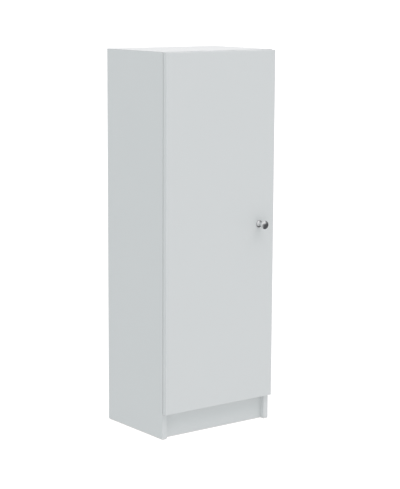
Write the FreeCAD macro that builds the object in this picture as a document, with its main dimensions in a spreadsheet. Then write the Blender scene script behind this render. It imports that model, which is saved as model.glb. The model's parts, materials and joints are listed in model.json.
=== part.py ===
import FreeCAD, Part
import os
from types import SimpleNamespace

import Sketcher
from FreeCAD import Placement, Rotation, Vector

os.makedirs("parts", exist_ok=True)
doc = FreeCAD.newDocument("broom_cupboard")

# Driving sizes in millimetres
sizes = {
    # Carcass boards
    "cabinet_width": 425,
    "cabinet_height": 1200,
    "carcass_depth": 298,
    "board": 18,
    "board_round": 0.6,
    "plinth_height": 84,
    "plinth_recess": 16,
    # Back panel and the groove that holds it on four sides
    "back_thickness": 3,
    "back_inset": 10,
    "groove_depth": 6,
    "groove_clearance": 0.2,
    # Adjustable shelf on push-in pins
    "shelf_setback": 22,
    "shelf_end_clearance": 1,
    "shelf_back_clearance": 2,
    "shelf_row_start": 776,
    "shelf_row_pitch": 32,
    "shelf_row_holes": 7,
    "shelf_holes_below": 4,
    "shelf_row_front": 50,
    "shelf_row_back": 60,
    "shelf_pin_diameter": 5,
    "shelf_pin_hole_depth": 12,
    "shelf_pin_reach": 9,
    "shelf_pin_spade": 9,
    "shelf_pin_spade_thickness": 2,
    # Knock-down joints between the sides and the cross boards
    "joint_front": 75,
    "joint_back": 60,
    "plinth_joint_pitch": 32,
    "cam_diameter": 15,
    "cam_hole_depth": 13,
    "cam_height": 12.4,
    "cam_setback": 34,
    "cam_slot_width": 2,
    "cam_slot_depth": 2,
    "bolt_diameter": 6,
    "bolt_tip": 3,
    "bolt_thread_diameter": 5,
    "bolt_thread_depth": 11,
    "dowel_diameter": 8,
    "dowel_in_side": 10,
    "dowel_in_board": 20,
    "fastener_clearance": 0.1,
    "hole_end_clearance": 0.5,
    # Nail-on glides under the sides
    "glide_height": 2,
    "glide_diameter": 15,
    "glide_inset": 30,
    "glide_nail_diameter": 2,
    "glide_nail_length": 12,
    # Anti-tip bracket under the top panel
    "bracket_width": 64,
    "bracket_leg": 24,
    "bracket_sheet": 2,
    "bracket_bend": 1.5,
    "bracket_hole_pitch": 40,
    "bracket_hole_diameter": 5.5,
    "bracket_hole_edge": 11,
    "wall_hole_diameter": 9,
    "bracket_screw_diameter": 3.5,
    "bracket_screw_length": 13,
    "bracket_screw_head": 7,
    "bracket_screw_head_height": 2,
    # Overlay door
    "door_thickness": 16,
    "door_gap": 1.2,
    "door_reveal": 1,
    "door_top_reveal": 1.5,
    "door_bottom": 82,
    "door_round": 1,
    "bumper_diameter": 8,
    "bumper_clearance": 0.2,
    "bumper_from_end": 60,
    # Concealed hinges: cup let into the door
    "hinge_from_end": 110,
    "cup_diameter": 35,
    "cup_edge": 4.5,
    "cup_bore_depth": 12.8,
    "cup_depth": 12.4,
    "cup_wall": 0.8,
    "cup_flange_length": 58,
    "cup_flange_near": 8,
    "cup_flange_far": 16,
    "cup_flange_thickness": 0.8,
    "cup_flange_round": 4,
    "cup_screw_pitch": 45,
    "cup_screw_offset": 9.5,
    "cup_screw_diameter": 3.5,
    "cup_screw_length": 11,
    "cup_screw_head": 6.6,
    "cup_screw_head_height": 1.5,
    # Concealed hinges: link between the cup's pin and the arm's pin
    "cup_pin_from_edge": 10,
    "cup_pin_depth": 5,
    "cup_pin_length": 20,
    "arm_pin_from_edge": 31,
    "arm_pin_depth": 3,
    "hinge_pin_diameter": 2.5,
    "hinge_pin_clearance": 0.05,
    "link_width": 12,
    "link_thickness": 2,
    "link_radius": 13.6,
    "link_eye": 5.2,
    # Concealed hinges: channel arm and the plate it is screwed to
    "arm_width": 16.4,
    "arm_sheet": 1.2,
    "arm_bend": 0.6,
    "arm_height": 18.2,
    "arm_lift": 4,
    "arm_nose": 6.4,
    "arm_web_start": 6,
    "arm_nose_slope": 14,
    "arm_length": 60,
    "plate_thickness": 2,
    "plate_setback": 37,
    "plate_screw_pitch": 32,
    "plate_wing_length": 48,
    "plate_wing_width": 16,
    "plate_wing_round": 5,
    "rail_start": 20,
    "rail_length": 40,
    "rail_clearance": 0.4,
    "plate_screw_diameter": 5,
    "plate_screw_length": 12,
    "plate_screw_head": 9,
    "plate_screw_head_height": 2,
    "arm_screw_diameter": 4,
    "arm_screw_length": 9,
    "arm_screw_head": 7.4,
    "arm_screw_head_height": 2,
    "arm_screw_from_front": 40,
    "adjuster_diameter": 5,
    "adjuster_stand": 0.6,
    "adjuster_from_front": 27,
    # Round knob and its machine screw
    "knob_from_edge": 60,
    "knob_height": 651,
    "knob_reach": 35,
    "knob_head": 28,
    "knob_equator": 30,
    "knob_shoulder": 3,
    "knob_neck": 11,
    "knob_neck_end": 22.5,
    "knob_base": 23,
    "knob_base_rim": 2.2,
    "knob_screw_diameter": 4,
    "knob_screw_depth": 9,
    "knob_screw_head": 8,
    "knob_screw_head_height": 2.6,
    "knob_screw_hole": 5,
}


class Length:
    """A size or a sum of sizes: its value now, and the formula that ties it to the sheet."""

    def __init__(self, value, text):
        self.value = value
        self.text = text

    def __add__(self, other):
        other = length(other)
        return Length(self.value + other.value, f"({self.text} + {other.text})")

    def __sub__(self, other):
        other = length(other)
        return Length(self.value - other.value, f"({self.text} - {other.text})")

    def __mul__(self, other):
        other = length(other)
        return Length(self.value * other.value, f"({self.text} * {other.text})")

    def __truediv__(self, number):
        return Length(self.value / number, f"({self.text} / {number})")

    def __neg__(self):
        return length(0) - self

    def __radd__(self, other):
        return length(other) + self

    def __rsub__(self, other):
        return length(other) - self


def length(number):
    return number if isinstance(number, Length) else Length(float(number), f"({number})")


def size_sheet():
    """Puts every driving size in an aliased cell and returns them as bound lengths."""
    sheet = doc.addObject("Spreadsheet::Sheet", "Sizes")
    for row, (name, number) in enumerate(sizes.items(), 1):
        sheet.set(f"A{row}", name)
        sheet.set(f"B{row}", str(number))
        sheet.setAlias(f"B{row}", name)
    doc.recompute()
    return SimpleNamespace(**{name: Length(float(sheet.get(name)), f"Sizes.{name}") for name in sizes})


def bind(thing, prop, distance):
    thing.setExpression(prop, length(distance).text)


def place(thing, x, y, z):
    for axis, distance in zip("xyz", (x, y, z)):
        bind(thing, f"Placement.Base.{axis}", distance)


def sketch_on(body, role, offset=0):
    """An empty sketch on one of the body's own planes, moved along that plane's normal."""
    sketch = body.newObject("Sketcher::SketchObject", f"{body.Name}_sketch")
    plane = next(feature for feature in body.Origin.OriginFeatures if feature.Role == role)
    sketch.AttachmentSupport = [(plane, "")]
    sketch.MapMode = "FlatFace"
    bind(sketch, "AttachmentOffset.Base.z", offset)
    return sketch


def hold(sketch, kind, parts, distance):
    """One dimension of a sketch, tied to the sheet."""
    distance = length(distance)
    index = sketch.addConstraint(Sketcher.Constraint(kind, *parts, distance.value))
    bind(sketch, f"Constraints[{index}]", distance)


def hold_point(sketch, edge, end, x, y):
    hold(sketch, "DistanceX", (-1, 1, edge, end), x)
    hold(sketch, "DistanceY", (-1, 1, edge, end), y)


def flat(x, y):
    return Vector(length(x).value, length(y).value, 0)


def polygon(sketch, corners):
    """A closed outline of straight lines whose every corner is dimensioned from the origin."""
    points = [flat(x, y) for x, y in corners]
    lines = []
    for start, end in zip(points, points[1:] + points[:1]):
        lines.append(sketch.addGeometry(Part.LineSegment(start, end)))
    for line, following, (x, y) in zip(lines, lines[1:] + lines[:1], corners):
        sketch.addConstraint(Sketcher.Constraint("Coincident", line, 2, following, 1))
        hold_point(sketch, line, 1, x, y)


def rectangle(sketch, x, y, wide, tall):
    polygon(sketch, [(x, y), (x + wide, y), (x + wide, y + tall), (x, y + tall)])


def circle(sketch, x, y, diameter):
    radius = length(diameter).value / 2
    edge = sketch.addGeometry(Part.Circle(flat(x, y), Vector(0, 0, 1), radius))
    hold_point(sketch, edge, 3, x, y)
    hold(sketch, "Diameter", (edge,), diameter)


def pad(body, sketch, thickness, back=False, both=False):
    feature = body.newObject("PartDesign::Pad", f"{body.Name}_pad")
    feature.Profile = sketch
    feature.Reversed = back
    feature.SideType = "Symmetric" if both else "One side"
    bind(feature, "Length", thickness)


def pocket(body, sketch, depth, back=False, both=False):
    feature = body.newObject("PartDesign::Pocket", f"{body.Name}_pocket")
    feature.Profile = sketch
    feature.Reversed = back
    feature.SideType = "Symmetric" if both else "One side"
    bind(feature, "Length", depth)
    return feature


def ease(body, radius, wanted):
    """Rounds those edges of the body that the test picks."""
    doc.recompute()
    solid = body.Tip
    picked = [f"Edge{number}" for number, edge in enumerate(solid.Shape.Edges, 1) if wanted(edge)]
    fillet = body.newObject("PartDesign::Fillet", f"{body.Name}_round")
    fillet.Base = (solid, picked)
    bind(fillet, "Radius", radius)


def board(label, corner, wide, deep, tall):
    """A board with its own origin at its lowest left front corner."""
    body = doc.addObject("PartDesign::Body", label)
    place(body, *corner)
    sketch = sketch_on(body, "XY_Plane")
    rectangle(sketch, 0, 0, length(wide), length(deep))
    pad(body, sketch, tall)
    return body


# Each face of a board: its sketch plane, the sense of that plane's normal,
# and whether a pocket is reversed there
faces = {
    "left": ("YZ_Plane", 1, True),
    "right": ("YZ_Plane", 1, False),
    "front": ("XZ_Plane", -1, False),
    "back": ("XZ_Plane", -1, True),
    "under": ("XY_Plane", 1, True),
    "above": ("XY_Plane", 1, False),
}


def drill(body, face, level, spots, diameter, depth):
    """Round holes in one face of a board; the level is where that face lies along its axis."""
    role, sense, reverse = faces[face]
    sketch = sketch_on(body, role, length(level) * sense)
    for across, along in spots:
        circle(sketch, across, along, diameter)
    return pocket(body, sketch, depth, reverse)


def mill(body, face, level, x, y, wide, tall, depth):
    """A straight groove in one face of a board."""
    role, sense, reverse = faces[face]
    sketch = sketch_on(body, role, length(level) * sense)
    rectangle(sketch, x, y, wide, tall)
    pocket(body, sketch, depth, reverse)


def repeat(body, feature, axis, pitch, count):
    """Copies a feature along one of the body's own axes at a fixed pitch."""
    line = next(part for part in body.Origin.OriginFeatures if part.Role == axis)
    pattern = body.newObject("PartDesign::LinearPattern", f"{body.Name}_row")
    pattern.Originals = [feature]
    pattern.Direction = (line, [""])
    pattern.Mode = "Spacing"
    bind(pattern, "Offset", pitch)
    bind(pattern, "Occurrences", count)
    body.Tip = pattern


turns = {
    "x": Rotation(Vector(0, 1, 0), 90),
    "-x": Rotation(Vector(0, 1, 0), -90),
    "y": Rotation(Vector(1, 0, 0), -90),
    "-y": Rotation(Vector(1, 0, 0), 90),
    "z": Rotation(),
    "-z": Rotation(Vector(1, 0, 0), 180),
}


def rod(name, diameter, spot, axis, reach):
    """A round bar from a point along one axis."""
    bar = doc.addObject("Part::Cylinder", name)
    bind(bar, "Radius", diameter / 2)
    bind(bar, "Height", reach)
    bar.Placement = Placement(Vector(), turns[axis])
    place(bar, *spot)
    return bar


def block(name, corner, wide, deep, tall):
    box = doc.addObject("Part::Box", name)
    bind(box, "Length", wide)
    bind(box, "Width", deep)
    bind(box, "Height", tall)
    place(box, *corner)
    return box


def joined(name, shapes):
    fuse = doc.addObject("Part::MultiFuse", name)
    fuse.Shapes = shapes
    return fuse


def less(name, base, tool):
    cut = doc.addObject("Part::Cut", name)
    cut.Base = base
    cut.Tool = tool
    return cut


def group(label, solids):
    """Equal fasteners kept as one sub-part of separate solids."""
    compound = doc.addObject("Part::Compound", label)
    compound.Links = solids
    return compound


opposite = {"x": "-x", "-x": "x", "y": "-y", "-y": "y", "z": "-z", "-z": "z"}
crown_share = 0.72  # the flat top of a screw's head, as a share of the head's diameter


def screw(name, seat, axis, diameter, reach, head, head_height):
    """A screw whose tapered head sits on the seat point and whose shank runs along the axis."""
    cap = doc.addObject("Part::Cone", f"{name}_head")
    bind(cap, "Radius1", head / 2)
    bind(cap, "Radius2", head * crown_share / 2)
    bind(cap, "Height", head_height)
    cap.Placement = Placement(Vector(), turns[opposite[axis]])
    place(cap, *seat)
    return joined(name, [cap, rod(f"{name}_shank", diameter, seat, axis, reach)])


s = size_sheet()
pieces = []

# Planes of the whole cupboard, with the origin under the middle of its bounding box
overall_depth = s.carcass_depth + s.door_gap + s.door_thickness + s.knob_reach
rear = overall_depth / 2
front = rear - s.carcass_depth
door_back = front - s.door_gap
door_front = door_back - s.door_thickness
left = -s.cabinet_width / 2
inner_left = left + s.board
inner_width = s.cabinet_width - s.board * 2
foot = s.glide_height
base_under = s.plinth_height
base_top = base_under + s.board
top_under = s.cabinet_height - s.board

# Depths of the joints and of the back panel, measured back from the carcass front
joint_far = s.carcass_depth - s.joint_back
joint_middle = (s.joint_front + joint_far) / 2
groove_width = s.back_thickness + s.groove_clearance * 2
groove_start = s.carcass_depth - s.back_inset - groove_width
row_far = s.carcass_depth - s.shelf_row_back
plinth_middle = (foot + s.plinth_height) / 2
plinth_cam = plinth_middle - s.plinth_joint_pitch / 2
plinth_dowel = plinth_middle + s.plinth_joint_pitch / 2
plinth_axis = s.plinth_recess + s.board / 2
bolt_bore = s.bolt_diameter + s.fastener_clearance * 2
bolt_reach = s.cam_setback + s.bolt_tip
dowel_bore = s.dowel_diameter + s.fastener_clearance * 2
deck_levels = (base_under + s.board / 2, top_under + s.board / 2)
shelf_pin_level = s.shelf_row_start + s.shelf_row_pitch * s.shelf_holes_below
back_face = front + groove_start + s.groove_clearance
bracket_hole_level = top_under - s.bracket_hole_edge

# Door and hinge positions
door_left = left + s.door_reveal
door_width = s.cabinet_width - s.door_reveal * 2
door_height = s.cabinet_height - s.door_top_reveal - s.door_bottom
hinge_levels = {
    "upper": s.door_bottom + door_height - s.hinge_from_end,
    "lower": s.door_bottom + s.hinge_from_end,
}
side_face = s.board - s.door_reveal
cup_centre = s.cup_edge + s.cup_diameter / 2
plate_line = s.door_gap + s.plate_setback
arm_top = side_face + s.arm_height
hinge_bore = s.hinge_pin_diameter + s.hinge_pin_clearance * 2

touching = 1e-6  # how far apart two planes may lie and still count as one


def upright(edge):
    box = edge.BoundBox
    return box.ZLength > box.XLength + box.YLength


def crosswise(edge):
    box = edge.BoundBox
    return box.XLength > box.YLength + box.ZLength


def along_depth(edge):
    box = edge.BoundBox
    return box.YLength > box.XLength + box.ZLength


def at_front(edge):
    return edge.BoundBox.YMax < touching


def lies_on(edge, axis, level):
    """Whether an edge keeps to one level along an axis of its own body."""
    ends = [getattr(edge.BoundBox, f"{axis}{end}") for end in ("Min", "Max")]
    return all(abs(end - length(level).value) < touching for end in ends)


def either_way(pitch):
    """The two places, half a pitch to each side of a middle line."""
    return (-pitch / 2, pitch / 2)


def side_panel(label, x, inward):
    """A side with its groove, joint holes and shelf-pin rows drilled from the inner face."""
    level = s.board if inward == "right" else length(0)
    body = board(label, (x, front, foot), s.board, s.carcass_depth, s.cabinet_height - foot)
    ease(body, s.board_round, lambda edge: upright(edge) and at_front(edge))
    groove_low = base_top - s.groove_depth - foot
    groove_tall = top_under - base_top + s.groove_depth * 2
    mill(body, inward, level, groove_start, groove_low, groove_width, groove_tall, s.groove_depth)
    bolts = [(depth, height - foot) for depth in (s.joint_front, joint_far) for height in deck_levels]
    bolts.append((plinth_axis, plinth_cam - foot))
    drill(body, inward, level, bolts, s.bolt_thread_diameter, s.bolt_thread_depth)
    dowels = [(joint_middle, height - foot) for height in deck_levels]
    dowels.append((plinth_axis, plinth_dowel - foot))
    drill(body, inward, level, dowels, dowel_bore, s.dowel_in_side + s.hole_end_clearance)
    nails = [(s.board / 2, depth) for depth in (s.glide_inset, s.carcass_depth - s.glide_inset)]
    drill(body, "under", 0, nails, s.glide_nail_diameter + s.fastener_clearance * 2,
          s.glide_nail_length + s.hole_end_clearance)
    if inward == "right":
        spots = [(s.plate_setback, height - foot + turn) for height in hinge_levels.values()
                 for turn in either_way(s.plate_screw_pitch)]
        drill(body, inward, level, spots, s.plate_screw_diameter + s.fastener_clearance * 2,
              s.plate_screw_length + s.hole_end_clearance)
    row = [(depth, s.shelf_row_start - foot) for depth in (s.shelf_row_front, row_far)]
    first = drill(body, inward, level, row, s.shelf_pin_diameter, s.shelf_pin_hole_depth)
    repeat(body, first, "Z_Axis", s.shelf_row_pitch, s.shelf_row_holes)
    pieces.append(body)


def deck(label, height, groove_face):
    """A cross board between the sides: joint bores in both ends, cam holes underneath, back groove."""
    body = board(label, (inner_left, front, height), inner_width, s.carcass_depth, s.board)
    ease(body, s.board_round, lambda edge: at_front(edge) and crosswise(edge))
    level = s.board if groove_face == "above" else length(0)
    mill(body, groove_face, level, 0, groove_start, inner_width, groove_width, s.groove_depth)
    ends = [(depth, s.board / 2) for depth in (s.joint_front, joint_far)]
    middle = [(joint_middle, s.board / 2)]
    for face, end in (("left", length(0)), ("right", inner_width)):
        drill(body, face, end, ends, bolt_bore, bolt_reach + s.hole_end_clearance)
        drill(body, face, end, middle, dowel_bore, s.dowel_in_board + s.hole_end_clearance)
    cams = [(across, depth) for across in (s.cam_setback, inner_width - s.cam_setback)
            for depth in (s.joint_front, joint_far)]
    drill(body, "under", 0, cams, s.cam_diameter, s.cam_hole_depth)
    pieces.append(body)
    return body


def plinth_panel():
    tall = s.plinth_height - foot
    body = board("plinth_panel", (inner_left, front + s.plinth_recess, foot), inner_width, s.board, tall)
    bolt = [(s.board / 2, plinth_cam - foot)]
    dowel = [(s.board / 2, plinth_dowel - foot)]
    for face, end in (("left", length(0)), ("right", inner_width)):
        drill(body, face, end, bolt, bolt_bore, bolt_reach + s.hole_end_clearance)
        drill(body, face, end, dowel, dowel_bore, s.dowel_in_board + s.hole_end_clearance)
    cams = [(across, plinth_cam - foot) for across in (s.cam_setback, inner_width - s.cam_setback)]
    drill(body, "back", s.board, cams, s.cam_diameter, s.cam_hole_depth)
    pieces.append(body)


def back_panel():
    """A thin panel that stands in the base groove and is caught by the other three."""
    wide = inner_width + (s.groove_depth - s.hole_end_clearance) * 2
    tall = top_under - base_top + s.groove_depth * 2 - s.hole_end_clearance * 2
    x = inner_left - s.groove_depth + s.hole_end_clearance
    z = base_top - s.groove_depth
    body = board("back_panel", (x, back_face, z), wide, s.back_thickness, tall)
    spots = [(wide / 2 + turn, bracket_hole_level - z) for turn in either_way(s.bracket_hole_pitch)]
    drill(body, "front", 0, spots, s.wall_hole_diameter, s.back_thickness)
    pieces.append(body)


def shelf():
    """A loose shelf that rests on four pins, with its front edge rounded."""
    wide = inner_width - s.shelf_end_clearance * 2
    deep = groove_start - s.shelf_setback - s.shelf_back_clearance
    x = inner_left + s.shelf_end_clearance
    z = shelf_pin_level + s.shelf_pin_diameter / 2
    body = board("shelf", (x, front + s.shelf_setback, z), wide, deep, s.board)
    ease(body, s.board_round, lambda edge: at_front(edge) and crosswise(edge))
    pieces.append(body)


def shelf_pins():
    """Four pins: a round stub in the side and a flat spade under the shelf."""
    pins = []
    stub = s.shelf_pin_hole_depth - s.hole_end_clearance
    for side, face, axis, corner in (
        ("left", inner_left, "x", inner_left),
        ("right", -inner_left, "-x", -inner_left - s.shelf_pin_reach),
    ):
        for row, depth in (("front", front + s.shelf_row_front), ("back", front + row_far)):
            name = f"shelf_pin_{side}_{row}"
            start = face - stub if axis == "x" else face + stub
            bar = rod(f"{name}_stub", s.shelf_pin_diameter - s.fastener_clearance * 2,
                      (start, depth, shelf_pin_level), axis, stub + s.shelf_pin_reach)
            low = shelf_pin_level + s.shelf_pin_diameter / 2 - s.shelf_pin_spade_thickness
            spade = block(f"{name}_spade", (corner, depth - s.shelf_pin_spade / 2, low),
                          s.shelf_pin_reach, s.shelf_pin_spade, s.shelf_pin_spade_thickness)
            pins.append(joined(name, [bar, spade]))
    pieces.append(group("shelf_pins", pins))


def joint_spots():
    """Every knock-down joint: its name, the side it starts from, and the bolt's place."""
    for side, face, axis in (("left", inner_left, "x"), ("right", -inner_left, "-x")):
        for name, height in zip(("base", "top"), deck_levels):
            for row, depth in (("front", s.joint_front), ("back", joint_far)):
                yield f"{side}_{name}_{row}", face, axis, front + depth, height
        yield f"{side}_plinth", face, axis, front + plinth_axis, plinth_cam


def cam_locks():
    """Drum cams in the boards, open towards the bolt and slotted for a driver."""
    locks = []
    diameter = s.cam_diameter - s.fastener_clearance * 2
    for name, face, axis, y, z in joint_spots():
        x = face + s.cam_setback if axis == "x" else face - s.cam_setback
        slot_left = x - s.cam_diameter / 2
        if name.endswith("plinth"):
            seat = (x, y + s.board / 2, z)
            inward = "-y"
            slot_corner = (slot_left, y + s.board / 2 - s.cam_slot_depth, z - s.cam_slot_width / 2)
            slot_size = (s.cam_diameter, s.cam_slot_depth, s.cam_slot_width)
        else:
            seat = (x, y, z - s.board / 2)
            inward = "z"
            slot_corner = (slot_left, y - s.cam_slot_width / 2, z - s.board / 2)
            slot_size = (s.cam_diameter, s.cam_slot_width, s.cam_slot_depth)
        slot = block(f"cam_slot_{name}", slot_corner, *slot_size)
        drum = rod(f"cam_drum_{name}", diameter, seat, inward, s.cam_height)
        mouth = rod(f"cam_mouth_{name}", bolt_bore, (face, y, z), axis, bolt_reach + s.hole_end_clearance)
        locks.append(less(f"cam_lock_{name}", drum, joined(f"cam_cut_{name}", [slot, mouth])))
    pieces.append(group("cam_locks", locks))


def cam_bolts():
    """Bolts screwed into the sides that reach into the cams."""
    bolts = []
    thread = s.bolt_thread_depth - s.hole_end_clearance
    for name, face, axis, y, z in joint_spots():
        bolts.append(joined(f"cam_bolt_{name}", [
            rod(f"bolt_thread_{name}", s.bolt_thread_diameter - s.fastener_clearance * 2, (face, y, z),
                opposite[axis], thread),
            rod(f"bolt_shank_{name}", s.bolt_diameter, (face, y, z), axis, bolt_reach),
        ]))
    pieces.append(group("cam_bolts", bolts))


def dowels():
    """Plain wooden dowels that keep the cross boards from turning."""
    pegs = []
    for side, face, axis in (("left", inner_left, "x"), ("right", -inner_left, "-x")):
        start = face - s.dowel_in_side if axis == "x" else face + s.dowel_in_side
        reach = s.dowel_in_side + s.dowel_in_board
        for name, height in zip(("base", "top"), deck_levels):
            pegs.append(rod(f"dowel_{side}_{name}", s.dowel_diameter, (start, front + joint_middle, height),
                            axis, reach))
        pegs.append(rod(f"dowel_{side}_plinth", s.dowel_diameter, (start, front + plinth_axis, plinth_dowel),
                        axis, reach))
    pieces.append(group("dowels", pegs))


def floor_glides():
    glides = []
    for side, x in (("left", left + s.board / 2), ("right", -left - s.board / 2)):
        for row, y in (("front", front + s.glide_inset), ("back", rear - s.glide_inset)):
            name = f"glide_{side}_{row}"
            glides.append(joined(name, [
                rod(f"{name}_disc", s.glide_diameter, (x, y, 0), "z", s.glide_height),
                rod(f"{name}_nail", s.glide_nail_diameter, (x, y, s.glide_height), "z", s.glide_nail_length),
            ]))
    pieces.append(group("floor_glides", glides))


def wall_bracket(top):
    """An angle under the top panel with two holes for wall screws, and the screws that hold it."""
    body = doc.addObject("PartDesign::Body", "wall_bracket")
    place(body, 0, back_face, top_under)
    sketch = sketch_on(body, "YZ_Plane")
    leg = -s.bracket_leg
    sheet = -s.bracket_sheet
    polygon(sketch, [(0, 0), (leg, 0), (leg, sheet), (sheet, sheet), (sheet, leg), (0, leg)])
    pad(body, sketch, s.bracket_width, both=True)
    for level, radius in ((sheet, s.bracket_bend), (0, s.bracket_bend + s.bracket_sheet)):
        ease(body, radius, lambda edge: lies_on(edge, "Y", level) and lies_on(edge, "Z", level))
    places = either_way(s.bracket_hole_pitch)
    wall_spots = [(place_x, -s.bracket_hole_edge) for place_x in places]
    drill(body, "back", 0, wall_spots, s.bracket_hole_diameter, s.bracket_sheet)
    depth = (s.bracket_leg + s.bracket_sheet) / 2
    hole = s.bracket_screw_diameter + s.fastener_clearance * 2
    drill(body, "under", -s.bracket_sheet, [(place_x, -depth) for place_x in places], hole, s.bracket_sheet)
    spots = [(inner_width / 2 + place_x, back_face - front - depth) for place_x in places]
    drill(top, "under", 0, spots, hole, s.bracket_screw_length + s.hole_end_clearance - s.bracket_sheet)
    pieces.append(body)
    pieces.append(group("wall_bracket_screws", [
        screw(f"bracket_screw_{side}", (place_x, back_face - depth, top_under - s.bracket_sheet), "z",
              s.bracket_screw_diameter, s.bracket_screw_length, s.bracket_screw_head,
              s.bracket_screw_head_height)
        for side, place_x in zip(("left", "right"), places)
    ]))


def door_panel():
    """The slab door with its cup bores, pilot holes and the knob's screw hole."""
    corner = (door_left, door_front, s.door_bottom)
    body = board("door_panel", corner, door_width, s.door_thickness, door_height)
    ease(body, s.door_round, lambda edge: True)
    levels = [height - s.door_bottom for height in hinge_levels.values()]
    drill(body, "back", s.door_thickness, [(cup_centre, z) for z in levels], s.cup_diameter, s.cup_bore_depth)
    pilots = [(cup_centre + s.cup_screw_offset, z + turn) for z in levels
              for turn in either_way(s.cup_screw_pitch)]
    drill(body, "back", s.door_thickness, pilots, s.cup_screw_diameter + s.fastener_clearance * 2,
          s.cup_screw_length + s.hole_end_clearance)
    drill(body, "back", s.door_thickness, [(door_width - s.knob_from_edge, s.knob_height - s.door_bottom)],
          s.knob_screw_hole, s.door_thickness)
    pieces.append(body)


def door_bumpers():
    """Two soft pads on the right side's front edge, just short of the closed door."""
    pads = []
    levels = {
        "upper": s.cabinet_height - s.bumper_from_end,
        "lower": s.door_bottom + s.bumper_from_end,
    }
    for name, z in levels.items():
        pads.append(rod(f"bumper_{name}", s.bumper_diameter, (-left - s.board / 2, front, z), "-y",
                        s.door_gap - s.bumper_clearance))
    pieces.append(group("door_bumpers", pads))


def hinge_cup(name, z):
    """A pressed cup with a flange on the door's back face and a socket for the cup pin."""
    body = doc.addObject("PartDesign::Body", f"{name}_hinge_cup")
    place(body, door_left + cup_centre, door_back, z)
    outer = s.cup_diameter / 2 - s.fastener_clearance
    hollow = outer - s.cup_wall
    section = sketch_on(body, "XY_Plane")
    floor = s.cup_wall - s.cup_depth
    polygon(section, [
        (0, -s.cup_depth), (outer, -s.cup_depth), (outer, 0), (hollow, 0), (hollow, floor), (0, floor),
    ])
    dish = body.newObject("PartDesign::Revolution", f"{body.Name}_dish")
    dish.Profile = section
    dish.ReferenceAxis = (section, ["V_Axis"])
    flange = sketch_on(body, "XZ_Plane")
    wide = s.cup_flange_near + s.cup_flange_far
    rectangle(flange, -s.cup_flange_near, -s.cup_flange_length / 2, wide, s.cup_flange_length)
    pad(body, flange, s.cup_flange_thickness, back=True)
    ease(body, s.cup_flange_round, lambda edge: along_depth(edge) and edge.BoundBox.YMin > -touching)
    sheet = s.cup_flange_thickness
    drill(body, "back", sheet, [(0, 0)], hollow * 2, sheet + s.cup_wall)
    holes = [(s.cup_screw_offset, turn) for turn in either_way(s.cup_screw_pitch)]
    drill(body, "back", sheet, holes, s.cup_screw_diameter + s.fastener_clearance * 2, sheet)
    socket = sketch_on(body, "XY_Plane")
    circle(socket, s.cup_pin_from_edge - cup_centre, -s.cup_pin_depth, hinge_bore)
    pocket(body, socket, s.cup_pin_length + s.hole_end_clearance, both=True)
    pieces.append(body)


def hinge_link(name, z):
    """A curved strap with an eye at each end, one on the cup's pin and one on the arm's."""
    label = f"{name}_hinge_link"
    path = doc.addObject("Sketcher::SketchObject", f"{label}_path")
    start = flat(s.cup_pin_from_edge, -s.cup_pin_depth)
    end = flat(s.arm_pin_from_edge, -s.arm_pin_depth)
    chord = end - start
    rise = (s.link_radius.value ** 2 - chord.Length ** 2 / 4) ** 0.5
    centre = (start + end) / 2 + Vector(-chord.y, chord.x, 0).normalize() * rise
    arc = Part.Arc(start, centre - Vector(0, s.link_radius.value, 0), end)
    curve = path.addGeometry(arc)
    hold_point(path, curve, 1, s.cup_pin_from_edge, -s.cup_pin_depth)
    hold_point(path, curve, 2, s.arm_pin_from_edge, -s.arm_pin_depth)
    hold(path, "Radius", (curve,), s.link_radius)
    outline = doc.addObject("Part::Offset2D", f"{label}_outline")
    outline.Source = path
    outline.Mode = "Pipe"
    outline.Fill = True
    bind(outline, "Value", s.link_thickness / 2)
    strap = doc.addObject("Part::Extrusion", f"{label}_strap")
    strap.Base = outline
    strap.DirMode = "Custom"
    strap.Dir = Vector(0, 0, 1)
    strap.Symmetric = True
    strap.Solid = True
    bind(strap, "LengthFwd", s.link_width)
    low = -s.link_width / 2
    pivots = {
        "cup": (s.cup_pin_from_edge, -s.cup_pin_depth, low),
        "arm": (s.arm_pin_from_edge, -s.arm_pin_depth, low),
    }
    eyes = [rod(f"{label}_{pin}_eye", s.link_eye, spot, "z", s.link_width) for pin, spot in pivots.items()]
    bores = [rod(f"{label}_{pin}_bore", hinge_bore, spot, "z", s.link_width) for pin, spot in pivots.items()]
    link = less(label, joined(f"{label}_blank", [strap] + eyes), joined(f"{label}_bores", bores))
    place(link, door_left, door_back, z)
    pieces.append(link)


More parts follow.
